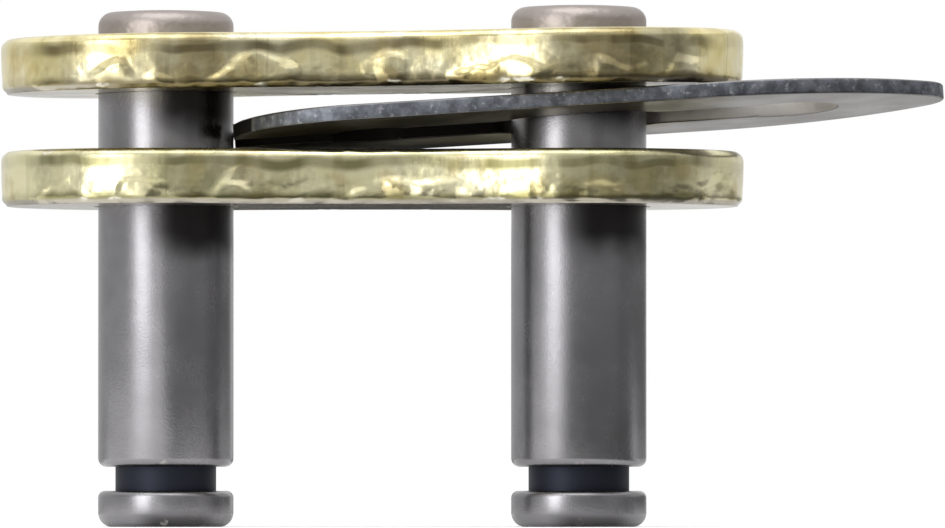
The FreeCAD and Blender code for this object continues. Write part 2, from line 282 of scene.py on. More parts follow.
def make_edge_wear():
    """Mask of the rims that handling has rubbed bright, broken up by noise."""
    inputs = (("From", 0.51), ("To", 0.56), ("Breakup Scale", 2500.0))
    tree, given, result = start_group("edge_wear", inputs, ("Mask",))
    pointed = add_node(tree, "NewGeometry").outputs["Pointiness"]
    rim = ramp(tree, pointed, given.outputs["From"], given.outputs["To"])
    broken = noise(tree, place_on_piece(tree), given.outputs["Breakup Scale"], 4.0)
    broken = ramp(tree, broken, 0.35, 0.6)
    tree.links.new(calculate(tree, "MULTIPLY", rim, broken), result.inputs["Mask"])
    return tree


metal_grain = make_metal_grain()
edge_wear = make_edge_wear()


def add_group(tree, group, **values):
    """Node group in a material, with its own values."""
    node = tree.nodes.new("ShaderNodeGroup")
    node.node_tree = group
    for name, value in values.items():
        node.inputs[name.replace("_", " ")].default_value = value
    return node


def start_metal(name):
    """Material with a fully metallic surface shader. Gives the material, its tree and shader."""
    material = bpy.data.materials.new(name)
    material.use_nodes = True
    tree = material.node_tree
    shader = tree.nodes["Principled BSDF"]
    shader.inputs["Metallic"].default_value = 1
    return material, tree, shader


def add_bump(tree, height, distance, normal=None):
    """Normal of a surface that is raised by a height, to a depth in metres."""
    sockets = {"Height": height, "Distance": distance, "Strength": 1.0}
    if normal is not None:
        sockets["Normal"] = normal
    return add_node(tree, "Bump", sockets).outputs["Normal"]


def between(tree, value, low, high, edge):
    """1 where a number lies between two levels, and 0 further than an edge's width outside."""
    above = ramp(tree, value, low - edge, low)
    below = ramp(tree, value, high + edge, high)
    return calculate(tree, "MULTIPLY", above, below)


def mix_numbers(tree, mask, one, other):
    """One number where a mask is 0, and another where it is 1."""
    share = calculate(tree, "MULTIPLY", mask, other)
    rest = calculate(tree, "MULTIPLY", calculate(tree, "SUBTRACT", 1.0, mask), one)
    return calculate(tree, "ADD", share, rest)


def painted_pin_shade(tree, place, to_right):
    """Painted shade below each plate and at the foot of a pin, on the side towards +X."""
    wander = noise(tree, place_on_piece(tree), 420.0, 2.0)
    shift = calculate(tree, "MULTIPLY", calculate(tree, "SUBTRACT", wander, 0.5), 1.4 * MM)
    shift = calculate(tree, "ADD", shift, calculate(tree, "MULTIPLY", to_right, 0.15))
    level = calculate(tree, "ADD", place["Z"], shift)
    under_plates = [between(tree, level, low, high, PAINTED_SHADE_FADE) for low, high in PAINTED_SHADE_LEVELS]
    painted_shade = calculate(tree, "MAXIMUM", *under_plates)
    painted_shade = calculate(tree, "MULTIPLY", painted_shade, ramp(tree, to_right, -1.3 * MM, 0.5 * MM))
    # Painted shade on the end head's lower rim.
    foot_shade = between(tree, to_right, -0.2 * MM, 1.3 * MM, 1.1 * MM)
    foot_shade = calculate(tree, "MULTIPLY", foot_shade, ramp(tree, place["Z"], 0.75 * MM, 0.2 * MM))
    return calculate(tree, "MAXIMUM", painted_shade, calculate(tree, "MULTIPLY", foot_shade, 0.75))


def make_pin_steel():
    """Dark burnished steel, peened dull at the riveted end, black in the groove as a blackened
    finish with painted shade of the recess, and with painted shade below the plates and at the
    foot.
    """
    material, tree, shader = start_metal("pin_steel")
    place = split(tree, place_on_piece(tree))
    beside = calculate(tree, "SUBTRACT", unsigned(tree, place["X"]), PITCH / 2)
    side = add_node(tree, "Math", {0: place["X"]}, operation="SIGN").outputs[0]
    to_right = calculate(tree, "MULTIPLY", beside, side)
    square = calculate(tree, "POWER", place["Y"], 2.0)
    square = calculate(tree, "ADD", square, calculate(tree, "POWER", beside, 2.0))
    out = calculate(tree, "POWER", square, 0.5)
    # The groove's black: partly its finish, partly painted shade of the recess.
    all_black, none_black = BLACK_AND_SHADED_REACH
    groove = ramp(tree, out, none_black, all_black)
    groove_level = between(tree, place["Z"], GROOVE_BOTTOM - 0.05 * MM, GROOVE_TOP, 0.1 * MM)
    groove = calculate(tree, "MULTIPLY", groove, groove_level)
    peened = ramp(tree, place["Z"], PEENED_FROM, PEENED_FROM + 0.3 * MM)
    # Painted shade below the plates and at the foot, on the side towards +X.
    painted_shade = calculate(tree, "MULTIPLY", painted_pin_shade(tree, place, to_right), 0.93)
    grain = add_group(tree, metal_grain, Grain_Scale=11000.0, Mottle_Scale=700.0)
    wear = add_group(tree, edge_wear, From=0.54, To=0.6)
    rings = noise(tree, stretched(tree, (500, 500, 9000)), 1.0, 3.0)
    along = noise(tree, stretched(tree, (3500, 3500, 160)), 1.0, 3.0)
    base = blend(tree, grain.outputs["Mottle"], darker(PIN_STEEL, 0.86), PIN_STEEL)
    # Lays the painted shade over the steel.
    base = blend(tree, painted_shade, base, PIN_PAINTED_SHADE)
    worn = calculate(tree, "MULTIPLY", wear.outputs["Mask"], 0.55)
    colour = blend(tree, worn, base, PIN_WORN_STEEL)
    colour = blend(tree, peened, colour, PEENED_STEEL)
    colour = blend(tree, groove, colour, BLACK_FINISH_AND_SHADE)
    tree.links.new(colour, shader.inputs["Base Color"])
    rough = calculate(tree, "MULTIPLY", grain.outputs["Mottle"], 0.015)
    rough = calculate(tree, "ADD", rough, calculate(tree, "MULTIPLY", along, 0.03))
    rough = calculate(tree, "ADD", rough, 0.245)
    rough = mix_numbers(tree, peened, rough, 0.44)
    rough = mix_numbers(tree, groove, rough, 0.5)
    tree.links.new(rough, shader.inputs["Roughness"])
    hammered = noise(tree, place_on_piece(tree), 1500.0, 2.0)
    normal = add_bump(tree, rings, 0.0006 * MM)
    normal = add_bump(tree, along, 0.0006 * MM, normal)
    normal = add_bump(tree, calculate(tree, "MULTIPLY", hammered, peened), 0.06 * MM, normal)
    normal = add_bump(tree, grain.outputs["Grain"], 0.0014 * MM, normal)
    tree.links.new(normal, shader.inputs["Normal"])
    return material


pin_steel = make_pin_steel()
for node in ("left_pin", "right_pin"):
    pin = turn_pin(node)
    pin.data.materials.append(pin_steel)
    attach(pin, "link")
    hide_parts(node)


# Fixed plate
# Waisted outer plate, blanked from steel strip, tumbled round at its edges and gold plated. Both
# pins were pressed into its bores, and their riveted ends hold it on.

WAIST_HALF = 4.95 * MM
PLATE_THICKNESS = 2.1 * MM
FIXED_PLATE_LEAN = math.radians(0.75)
BORE_CHAMFER = 0.12 * MM
OUTLINE_STEP = 0.17 * MM
TOP_EDGE_ROUNDING = 0.36 * MM
LOWER_EDGE_ROUNDING = 0.32 * MM
WALL_RINGS = 11
BORE_SIDES = 128
FIXED_BORE_RADIUS = 2.62 * MM
PALE_GOLD = (0.92, 0.86, 0.58, 1)
RUBBED_GOLD = (0.96, 0.93, 0.8, 1)
DULL_GOLD = (0.5, 0.46, 0.39, 1)
WARM_GOLD = (0.84, 0.73, 0.35, 1)
COPPER = (0.52, 0.39, 0.13, 1)
# Colour of the fixed plate's dirt and painted shade.
UMBER = (0.075, 0.053, 0.02, 1)
# Spans beside each pin where the plates' edges get painted shade.
SHADED_SPAN_LEFT = (-9.2 * MM, -6.0 * MM)
SHADED_SPAN_RIGHT = (6.8 * MM, 11.6 * MM)
CALM_ENDS = (13.4 * MM, 12.2 * MM)
TORN_FROM = (0.4 * MM, 1.5 * MM)
BLANKED_EDGE = "blanked_edge"
LUMPS = ("lumps", 1.5 * MM, 0.075 * MM)
DENTS = ("dents", 0.55 * MM, 0.022 * MM)


def start_outline(name, x, y, z):
    """New mesh open for editing, with one point, from which an outline is drawn."""
    bpy.ops.object.select_all(action="DESELECT")
    bpy.ops.mesh.primitive_plane_add(size=MM)
    piece = open_mesh(name)
    bpy.ops.mesh.merge(type="CENTER")
    bpy.ops.mesh.select_all(action="SELECT")
    bpy.ops.transform.translate(value=(x, y, z))
    return piece


def draw_arc(centre_x, centre_y, radius, angle):
    """Carries the outline on round a centre, anticlockwise where the angle is positive."""
    steps = max(3, math.ceil(abs(angle) * radius / OUTLINE_STEP))
    bpy.ops.mesh.spin(steps=steps, angle=angle, center=(centre_x, centre_y, 0), axis=(0, 0, -1))


def make_plate(name, lobe, bore_radius):
    """Level plate with two round lobes and a hollow waist, its rims rounded."""
    bottom = -PLATE_THICKNESS / 2
    top = PLATE_THICKNESS / 2
    half_pitch = PITCH / 2
    hollow = (half_pitch**2 + WAIST_HALF**2 - lobe**2) / (2 * lobe - 2 * WAIST_HALF)
    hollow_y = WAIST_HALF + hollow
    turn = math.atan2(hollow_y, half_pitch)
    start_x = half_pitch - lobe * math.cos(turn)
    start_y = -lobe * math.sin(turn)
    plate = start_outline(name, start_x, start_y, 0)
    draw_arc(half_pitch, 0, lobe, 2 * (math.pi - turn))
    draw_arc(0, hollow_y, hollow, 2 * turn - math.pi)
    draw_arc(-half_pitch, 0, lobe, 2 * (math.pi - turn))
    draw_arc(0, -hollow_y, hollow, 2 * turn - math.pi)
    bpy.ops.mesh.select_all(action="SELECT")
    bpy.ops.mesh.remove_doubles(threshold=CLOSE)
    for bore_x in (-half_pitch, half_pitch):
        bpy.ops.mesh.primitive_circle_add(
            vertices=BORE_SIDES, radius=bore_radius, location=(bore_x, 0, 0)
        )
    bpy.ops.mesh.select_all(action="SELECT")
    bpy.ops.transform.translate(value=(0, 0, bottom))
    bpy.ops.mesh.fill()
    draw_up(PLATE_THICKNESS)

    def in_bore(place):
        return math.hypot(abs(place.x) - half_pitch, place.y) < bore_radius + CLOSE

    def is_rim(edge, level, bore):
        places = [vertex.co for vertex in edge.verts]
        same_level = all(abs(place.z - level) < CLOSE for place in places)
        same_side = all(in_bore(place) == bore for place in places)
        return same_level and same_side and edge.calc_face_angle(0) > RIM_TURN

    for level, rounding in ((bottom, LOWER_EDGE_ROUNDING), (top, TOP_EDGE_ROUNDING)):
        pick("EDGE", lambda edge: is_rim(edge, level, False))
        soften("EDGES", rounding, 6)
        pick("EDGE", lambda edge: is_rim(edge, level, True))
        soften("EDGES", BORE_CHAMFER, 3)

    def stands(edge):
        one, other = (vertex.co for vertex in edge.verts)
        return abs(one.z - other.z) > top and not in_bore(one)

    pick("EDGE", stands)
    bpy.ops.mesh.subdivide(number_cuts=WALL_RINGS)
    close_mesh()
    return plate


def uneven_edge(plate):
    """Pushes the blanked edge in by a little here and there, most in its torn lower part."""
    edge = plate.vertex_groups.new(name=BLANKED_EDGE)
    for vertex in plate.data.vertices:
        if abs(vertex.normal.z) < 0.95:
            depth = 0.5 - vertex.co.z / PLATE_THICKNESS
            edge.add([vertex.index], 0.35 + 0.65 * min(1, max(0, 2 * depth - 0.5)), "REPLACE")
    for name, size, push_in in (LUMPS, DENTS):
        pattern = bpy.data.textures.new(plate.name + "_" + name, "CLOUDS")
        pattern.noise_scale = size
        pattern.noise_depth = 1
        push = plate.modifiers.new(name, "DISPLACE")
        push.texture = pattern
        push.texture_coords = "LOCAL"
        push.mid_level = 1
        push.strength = push_in
        push.vertex_group = BLANKED_EDGE
        bpy.ops.object.modifier_apply(modifier=name)


def wavering(tree, depth, frequency, reach):
    """Depth below the top of a plate, shifted up and down along the edge by noise."""
    pattern = noise(tree, stretched(tree, (frequency, frequency, frequency / 4)), 1.0, 1.0, 0.4)
    shift = calculate(tree, "MULTIPLY", calculate(tree, "SUBTRACT", pattern, 0.5), reach)
    return calculate(tree, "ADD", depth, shift)


def dark_marks_and_painted_shade(tree, place, depth, gate):
    """Dark band under the rim and dirt in patches, with painted shade at the foot of the edge and
    over a span beside each pin.
    """
    rim_depth = wavering(tree, depth, 520.0, 0.8 * MM)
    foot_depth = wavering(tree, depth, 900.0, 0.5 * MM)
    under_rim = between(tree, rim_depth, 0.45 * MM, 0.6 * MM, 0.3 * MM)
    under_rim = calculate(tree, "MULTIPLY", under_rim, mix_numbers(tree, gate, 0.6, 0.95))
    # Painted shade at the foot of the edge.
    foot = ramp(tree, foot_depth, 1.5 * MM, 1.85 * MM)
    patches = ramp(tree, noise(tree, stretched(tree, (560, 560, 420)), 1.0, 4.0, 0.6), 0.46, 0.7)
    # Painted shade over a span beside each pin.
    left, right = (between(tree, place["X"], *span, MM) for span in (SHADED_SPAN_LEFT, SHADED_SPAN_RIGHT))
    shaded_spans = calculate(tree, "MAXIMUM", calculate(tree, "MULTIPLY", left, 0.85), right)
    shaded_spans = calculate(tree, "MULTIPLY", shaded_spans, mix_numbers(tree, patches, 0.6, 1.0))
    stain_and_shade = calculate(tree, "MAXIMUM", under_rim, calculate(tree, "MULTIPLY", foot, 0.9))
    stain_and_shade = calculate(tree, "MAXIMUM", stain_and_shade, calculate(tree, "MULTIPLY", patches, 0.42))
    return calculate(tree, "MAXIMUM", stain_and_shade, calculate(tree, "MULTIPLY", shaded_spans, 0.9))


def shear_height(tree, depth):
    """Lumps, deeper towards the foot of the edge, and a broken ridge where the steel tore."""
    lumps = noise(tree, stretched(tree, (1, 1, 1.25)), 900.0, 2.0, 0.45)
    torn = mix_numbers(tree, ramp(tree, depth, *TORN_FROM), 0.2, 1.1)
    broken = ramp(tree, noise(tree, place_on_piece(tree), 480.0, 1.0), 0.42, 0.6)
    ridge = ramp(tree, wavering(tree, depth, 330.0, 2.2 * MM), 1.1 * MM, 1.55 * MM)
    ridge = calculate(tree, "MULTIPLY", calculate(tree, "MULTIPLY", ridge, broken), 0.85)
    return calculate(tree, "ADD", calculate(tree, "MULTIPLY", lumps, torn), ridge)


def make_shear_marks():
    """Marks that the blanking punch left on the edge of a plate, its dirt and painted shade, and
    masks of rim and underside.
    """
    inputs = (("Top", 0.0), ("Slope", 0.0))
    outputs = ("Height", "Streaks", "StainAndShade", "Crack", "Underside", "Rim")
    tree, given, result = start_group("shear_marks", inputs, outputs)
    upward = split(tree, add_node(tree, "NewGeometry").outputs["Normal"])["Z"]
    level = unsigned(tree, upward)
    wall = ramp(tree, level, 0.97, 0.8)
    rim = calculate(tree, "MULTIPLY", ramp(tree, level, 0.1, 0.5), ramp(tree, level, 0.995, 0.97))
    place = split(tree, place_on_piece(tree))
    rise = calculate(tree, "MULTIPLY", given.outputs["Slope"], place["X"])
    top = calculate(tree, "ADD", given.outputs["Top"], rise)
    depth = calculate(tree, "SUBTRACT", top, place["Z"])
    gate = ramp(tree, noise(tree, stretched(tree, (620, 620, 300)), 1.0, 2.0), 0.4, 0.62)
    short_of_ends = ramp(tree, unsigned(tree, place["X"]), *CALM_ENDS)
    worked = calculate(tree, "MULTIPLY", mix_numbers(tree, short_of_ends, 0.2, 1.0), wall)
    stain_and_shade = calculate(tree, "MULTIPLY", dark_marks_and_painted_shade(tree, place, depth, gate), worked)
    height = calculate(tree, "MULTIPLY", shear_height(tree, depth), worked)
    seam = noise(tree, stretched(tree, (1100, 1100, 60)), 1.0, 2.0, 0.5)
    crack = calculate(tree, "MULTIPLY", between(tree, seam, 0.592, 0.608, 0.045), gate)
    streaks = noise(tree, stretched(tree, (2600, 2600, 260)), 1.0, 3.0, 0.55)
    tree.links.new(height, result.inputs["Height"])
    tree.links.new(calculate(tree, "MULTIPLY", streaks, wall), result.inputs["Streaks"])
    tree.links.new(stain_and_shade, result.inputs["StainAndShade"])
    tree.links.new(calculate(tree, "MULTIPLY", crack, wall), result.inputs["Crack"])
    tree.links.new(ramp(tree, upward, -0.3, -0.85), result.inputs["Underside"])
    tree.links.new(rim, result.inputs["Rim"])
    return tree


shear_marks = make_shear_marks()


def make_gold_plating(name, top, slope, gold, soil_and_shade, dull_from):
    """Thin bright gold plating over tumbled steel, with dark marks, dirt and painted shade on its
    edge, and rubbed pale.
    """
    material, tree, shader = start_metal(name)
    grain = add_group(tree, metal_grain, Grain_Scale=7000.0, Mottle_Scale=520.0)
    wear = add_group(tree, edge_wear, From=0.525, To=0.62)
    marks = add_group(tree, shear_marks, Top=top, Slope=slope)
    from_middle = unsigned(tree, split(tree, place_on_piece(tree))["X"])
    base = blend(tree, grain.outputs["Mottle"], gold, PALE_GOLD)
    warm = ramp(tree, noise(tree, place_on_piece(tree), 560.0, 3.0), 0.5, 0.66)
    base = blend(tree, calculate(tree, "MULTIPLY", warm, 0.5), base, COPPER)
    # Dirt and painted shade darken the edge here.
    base = blend(tree, calculate(tree, "MULTIPLY", marks.outputs["StainAndShade"], 0.88), base, soil_and_shade)
    base = blend(tree, calculate(tree, "MULTIPLY", marks.outputs["Crack"], 0.2), base, soil_and_shade)
    worn = calculate(tree, "MULTIPLY", wear.outputs["Mask"], marks.outputs["Rim"])
    base = blend(tree, calculate(tree, "MULTIPLY", worn, 0.75), base, RUBBED_GOLD)
    dull = ramp(tree, from_middle, dull_from, dull_from + 2.5 * MM)
    dull = calculate(tree, "MULTIPLY", marks.outputs["Underside"], dull)
    tree.links.new(blend(tree, dull, base, DULL_GOLD), shader.inputs["Base Color"])
    rough = calculate(tree, "MULTIPLY", grain.outputs["Mottle"], 0.06)
    rough = calculate(tree, "ADD", rough, calculate(tree, "MULTIPLY", marks.outputs["StainAndShade"], 0.1))
    tree.links.new(calculate(tree, "ADD", rough, 0.19), shader.inputs["Roughness"])
    normal = add_bump(tree, marks.outputs["Height"], 0.15 * MM)
    normal = add_bump(tree, marks.outputs["Streaks"], 0.008 * MM, normal)
    normal = add_bump(tree, grain.outputs["Grain"], 0.0015 * MM, normal)
    tree.links.new(normal, shader.inputs["Normal"])
    return material


def dress_plate(name, node, body, bore_radius, lean, gold, soil_and_shade, dull_from):
    """Makes one plate, gives it its uneven edge and plating, and puts it in its node's place."""
    low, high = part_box(node)
    middle = (low.z + high.z) / 2
    plate = make_plate(name, high.y, bore_radius)
    uneven_edge(plate)
    plate.rotation_euler = (0, -lean, 0)
    plate.location = (0, 0, middle)
    bpy.ops.object.transform_apply(location=True, rotation=True, scale=False)
    top = middle + PLATE_THICKNESS / 2
    plating = make_gold_plating(node + "_gold", top, math.tan(lean), gold, soil_and_shade, dull_from)
    plate.data.materials.append(plating)
    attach(plate, body)
    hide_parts(node)


dress_plate(
    "fixed_plate_blank",
    "fixed_plate",
    "link",
    bore_radius=FIXED_BORE_RADIUS,
    lean=FIXED_PLATE_LEAN,
    gold=WARM_GOLD,
    soil_and_shade=UMBER,
    dull_from=9.0 * MM,
)


# Loose plate
# Second outer plate, of the same strip and plating, with bores that slip over the pins. It is
# pushed up the pins and stays there by friction.

LOOSE_BORE_RADIUS = 2.65 * MM
GREEN_GOLD = (0.83, 0.78, 0.46, 1)
# Colour of the loose plate's dirt and painted shade.
OLIVE = (0.13, 0.12, 0.04, 1)

dress_plate(
    "loose_plate_blank",
    "loose_plate",
    "loose",
    bore_radius=LOOSE_BORE_RADIUS,
    lean=0,
    gold=GREEN_GOLD,
    soil_and_shade=OLIVE,
    dull_from=-2.5 * MM,
)


# Spring clip
# Blanked from blued spring steel strip, with a closed nose, two seats for the pin grooves, a wider
# middle and an open mouth. It lies tilted on the loose plate, over the right pin.

CLIP_THICKNESS = 0.6 * MM
CLIP_HALF_WIDTH = 5.225 * MM
NOSE_REACH = 14.05 * MM
NOSE_RADIUS = 2.2 * MM
TAPER_START = 5.0 * MM
MOUTH_REACH = 13.35 * MM
CORNER_OFFSET = 0.5 * MM
SEAT_RADIUS = 2.0 * MM
NECK_HALF = 1.7 * MM
OPENING_HALF = 2.8 * MM
OPENING_FULL = 1.6 * MM
OPENING_NARROW = 3.05 * MM
THROAT_HALF = 1.3 * MM
MOUTH_HALF = 1.2 * MM
CLIP_CORNER = 0.3 * MM
TIGHT_CORNER = 0.1 * MM
SHARP_TURN = math.radians(14)
CLIP_RIM = 0.09 * MM
CLIP_TILT = math.radians(6.4)
CLIP_BEARING = math.radians(123.8)
BLUED_STEEL = (0.26, 0.248, 0.24, 1)
SHEARED_STEEL = (0.2, 0.213, 0.24, 1)
# The pale cut steel below is partly the rough cut surface and partly painted light, lifting the
# shaded openings.
CUT_STEEL_AND_PAINTED_LIGHT = (0.5, 0.475, 0.45, 1)
BARE_STEEL = (0.5, 0.51, 0.52, 1)
INNER_HALF = 3.1 * MM
INNER_RIGHT = 19.2 * MM
INNER_FADE = 0.3 * MM
# Painted shade under the clip, left of the right pin: where it ends, how it fades, its colour and
# its sheen.
CLIP_SHADE_RIGHT = 6.4 * MM
CLIP_SHADE_FADE = 1.5 * MM
CLIP_PAINTED_SHADE = (0.012, 0.011, 0.01, 1)
CLIP_SHEEN = 0.075


def draw_line(x, y):
    """Carries the outline on in a straight line to a point."""
    shape = bmesh.from_edit_mesh(bpy.context.object.data)
    last = next(vertex.co for vertex in shape.verts if vertex.select)
    step = (x - last.x, y - last.y, 0)
    bpy.ops.mesh.extrude_region_move(TRANSFORM_OT_translate={"value": step})


def stamp_clip():
    """Back half of the clip's outline, mirrored, eased at its corners, filled and thickened."""
    half_pitch = PITCH / 2
    nose_x = NOSE_REACH - NOSE_RADIUS
    reach = nose_x - TAPER_START
    corner_radius = CLIP_HALF_WIDTH - CORNER_OFFSET
    corner_x = corner_radius - MOUTH_REACH
    taper_radius = reach**2 + CLIP_HALF_WIDTH**2 - NOSE_RADIUS**2
    taper_radius /= 2 * (CLIP_HALF_WIDTH - NOSE_RADIUS)
    taper_y = CLIP_HALF_WIDTH - taper_radius
    turned = math.atan2(-taper_y, reach)
    neck_x = math.sqrt(SEAT_RADIUS**2 - NECK_HALF**2)
    neck_turn = math.atan2(NECK_HALF, neck_x)
    slope = (MOUTH_HALF - THROAT_HALF) / (MOUTH_REACH - half_pitch)
    throat_angle = math.asin(THROAT_HALF / SEAT_RADIUS)
    throat_x = -half_pitch - SEAT_RADIUS * math.cos(throat_angle)
    tip_angle = math.asin((MOUTH_HALF - CORNER_OFFSET) / corner_radius)
    clip = start_outline("spring_clip_blank", NOSE_REACH, 0, 0)
    draw_arc(nose_x, 0, NOSE_RADIUS, turned)
    draw_arc(TAPER_START, taper_y, taper_radius, math.pi / 2 - turned)
    draw_line(corner_x, CLIP_HALF_WIDTH)
    draw_arc(corner_x, CORNER_OFFSET, corner_radius, math.pi / 2 - tip_angle)
    draw_line(throat_x, THROAT_HALF + slope * (-throat_x - half_pitch))
    draw_arc(-half_pitch, 0, SEAT_RADIUS, neck_turn + throat_angle - math.pi)
    draw_line(-OPENING_NARROW, NECK_HALF)
    draw_line(-OPENING_FULL, OPENING_HALF)
    draw_line(OPENING_FULL, OPENING_HALF)
    draw_line(OPENING_NARROW, NECK_HALF)
    draw_line(half_pitch - neck_x, NECK_HALF)
    draw_arc(half_pitch, 0, SEAT_RADIUS, neck_turn - math.pi)
    bpy.ops.object.mode_set(mode="OBJECT")
    bpy.ops.object.modifier_add(type="MIRROR")
    mirror = clip.modifiers[-1]
    mirror.use_axis = (False, True, False)
    mirror.merge_threshold = CLOSE
    bpy.ops.object.modifier_apply(modifier=mirror.name)
    bpy.ops.object.mode_set(mode="EDIT")
    bpy.ops.mesh.select_mode(type="VERT")
    bpy.ops.mesh.select_all(action="SELECT")
    bpy.ops.mesh.remove_doubles(threshold=CLOSE)

    def is_corner(vertex, beside_arc):
        one, other = (edge.other_vert(vertex).co - vertex.co for edge in vertex.link_edges)
        near_arc = min(one.length, other.length) < OUTLINE_STEP * 1.1
        return math.pi - one.angle(other) > SHARP_TURN and near_arc == beside_arc

    pick("VERT", lambda vertex: is_corner(vertex, True))
    soften("VERTICES", TIGHT_CORNER, 3)
    pick("VERT", lambda vertex: is_corner(vertex, False))
    soften("VERTICES", CLIP_CORNER, 5)
    bpy.ops.mesh.select_all(action="SELECT")
    bpy.ops.mesh.fill()
    bpy.ops.transform.translate(value=(0, 0, -CLIP_THICKNESS / 2))
    bpy.ops.mesh.select_mode(type="FACE")
    draw_up(CLIP_THICKNESS)
    bpy.ops.mesh.select_all(action="SELECT")
    bpy.ops.mesh.normals_make_consistent(inside=False)

    def is_rim(edge):
        one, other = (vertex.co for vertex in edge.verts)
        return abs(one.z - other.z) < CLOSE and edge.calc_face_angle(0) > RIM_TURN

    pick("EDGE", is_rim)
    soften("EDGES", CLIP_RIM, 3)
    close_mesh()
    return clip


def lay_clip(clip):
    """Tilts the clip about its middle and brings it to its node's place."""
    low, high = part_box("spring_clip")
    bpy.ops.object.mode_set(mode="EDIT")
    bpy.ops.mesh.select_mode(type="VERT")
    bpy.ops.mesh.select_all(action="SELECT")
    for axis, angle in (("Z", CLIP_BEARING), ("Y", -CLIP_TILT), ("Z", -CLIP_BEARING)):
        bpy.ops.transform.rotate(value=angle, orient_axis=axis, center_override=(0, 0, 0))
    bpy.ops.object.mode_set(mode="OBJECT")
    heights = [vertex.co.z for vertex in clip.data.vertices]
    middle = (low.z + high.z - min(heights) - max(heights)) / 2
    clip.location = (PITCH / 2, 0, middle)
    bpy.ops.object.transform_apply(location=True, rotation=False, scale=False)


def make_clip_steel():
    """Blued spring steel, with a mottled outer edge, openings painted paler, partly as bare cut
    steel and partly as painted light, and painted shade underneath, left of the right pin.
    """
    material, tree, shader = start_metal("clip_steel")
    grain = add_group(tree, metal_grain, Grain_Scale=9000.0, Mottle_Scale=450.0)
    wear = add_group(tree, edge_wear, From=0.52, To=0.6)
    upward = split(tree, add_node(tree, "NewGeometry").outputs["Normal"])["Z"]
    sheared = ramp(tree, unsigned(tree, upward), 0.8, 0.4)
    place = split(tree, place_on_piece(tree))
    inner = ramp(tree, unsigned(tree, place["Y"]), INNER_HALF + INNER_FADE, INNER_HALF)
    short_of_nose = ramp(tree, place["X"], INNER_RIGHT, INNER_RIGHT - INNER_FADE)
    inner = calculate(tree, "MULTIPLY", inner, short_of_nose)
    openings = calculate(tree, "MULTIPLY", inner, sheared)
    base = blend(tree, grain.outputs["Mottle"], darker(BLUED_STEEL, 0.78), BLUED_STEEL)
    blotch = ramp(tree, noise(tree, place_on_piece(tree), 1700.0, 4.0, 0.65), 0.35, 0.65)
    mottled = blend(tree, blotch, darker(SHEARED_STEEL, 0.5), SHEARED_STEEL)
    # Openings paler: partly cut steel, partly painted light where they lie in shade.
    base = blend(tree, sheared, base, blend(tree, inner, mottled, CUT_STEEL_AND_PAINTED_LIGHT))
    specks = ramp(tree, noise(tree, place_on_piece(tree), 4200.0, 3.0, 0.6), 0.56, 0.72)
    bare = calculate(tree, "MULTIPLY", calculate(tree, "MULTIPLY", specks, sheared), 0.5)
    base = blend(tree, bare, base, BARE_STEEL)
    worn = calculate(tree, "MULTIPLY", wear.outputs["Mask"], 0.2)
    base = blend(tree, worn, base, BARE_STEEL)
    # Painted shade on the underside and in the openings, left of the right pin.
    hidden = calculate(tree, "MAXIMUM", ramp(tree, upward, -0.6, -0.9), openings)
    painted_shade = ramp(tree, place["X"], CLIP_SHADE_RIGHT, CLIP_SHADE_RIGHT - CLIP_SHADE_FADE)
    painted_shade = calculate(tree, "MULTIPLY", painted_shade, hidden)
    tree.links.new(blend(tree, painted_shade, base, CLIP_PAINTED_SHADE), shader.inputs["Base Color"])
    shader.inputs["Specular IOR Level"].default_value = CLIP_SHEEN
    rough = calculate(tree, "MULTIPLY", grain.outputs["Mottle"], 0.12)
    rough = calculate(tree, "ADD", rough, calculate(tree, "MULTIPLY", sheared, 0.14))
    tree.links.new(calculate(tree, "ADD", rough, 0.28), shader.inputs["Roughness"])
    bare_metal = mix_numbers(tree, openings, 1.0, 0.65)
    bare_metal = calculate(tree, "MULTIPLY", bare_metal, mix_numbers(tree, painted_shade, 1.0, 0.15))
    tree.links.new(bare_metal, shader.inputs["Metallic"])
    torn = noise(tree, stretched(tree, (2600, 2600, 1300)), 1.0, 4.0, 0.65)
    normal = add_bump(tree, calculate(tree, "MULTIPLY", torn, sheared), 0.03 * MM)
    normal = add_bump(tree, grain.outputs["Grain"], 0.0018 * MM, normal)
    tree.links.new(normal, shader.inputs["Normal"])
    return material


clip = stamp_clip()
lay_clip(clip)
clip.data.materials.append(make_clip_steel())
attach(clip, "loose")
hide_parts("spring_clip")


# Floor, surround and lamps
# A pale floor under a white surround, a tall soft lamp in front on the left and another above. The
# metal mirrors curved flats, each with its first and last bearing in degrees and its tone.

FLOOR_COLOUR = (0.88, 0.88, 0.88, 1)
FLOOR_GLOW = 0.12
FLOOR_SIZE = 6.0
FLAT_RADIUS = 60 * MM
FLAT_HEIGHT = 42 * MM
FLAT_SIDES = 180
PIN_LEVEL = 12.5 * MM
CARD_RADIUS = 16 * MM
CARD_LEVEL = 0.05 * MM


def seen_ray(tree):
    """1 for rays from the camera and for those that metal or glass mirrors, otherwise 0."""
    path = add_node(tree, "LightPath")
    shown = calculate(tree, "MAXIMUM", path.outputs["Is Camera Ray"], path.outputs["Is Glossy Ray"])
    return calculate(tree, "MAXIMUM", shown, path.outputs["Is Transmission Ray"])


def make_floor_paint():
    """Pale matt paint that glows a little to the eye, and lights nothing."""
    material = bpy.data.materials.new("floor_paint")
    material.use_nodes = True
    tree = material.node_tree
    shader = tree.nodes["Principled BSDF"]
    shader.inputs["Base Color"].default_value = FLOOR_COLOUR
    shader.inputs["Roughness"].default_value = 0.9
    shader.inputs["Specular IOR Level"].default_value = 0.1
    shader.inputs["Emission Color"].default_value = (1, 1, 1, 1)
    glow = calculate(tree, "MULTIPLY", seen_ray(tree), FLOOR_GLOW)
    tree.links.new(glow, shader.inputs["Emission Strength"])
    return material


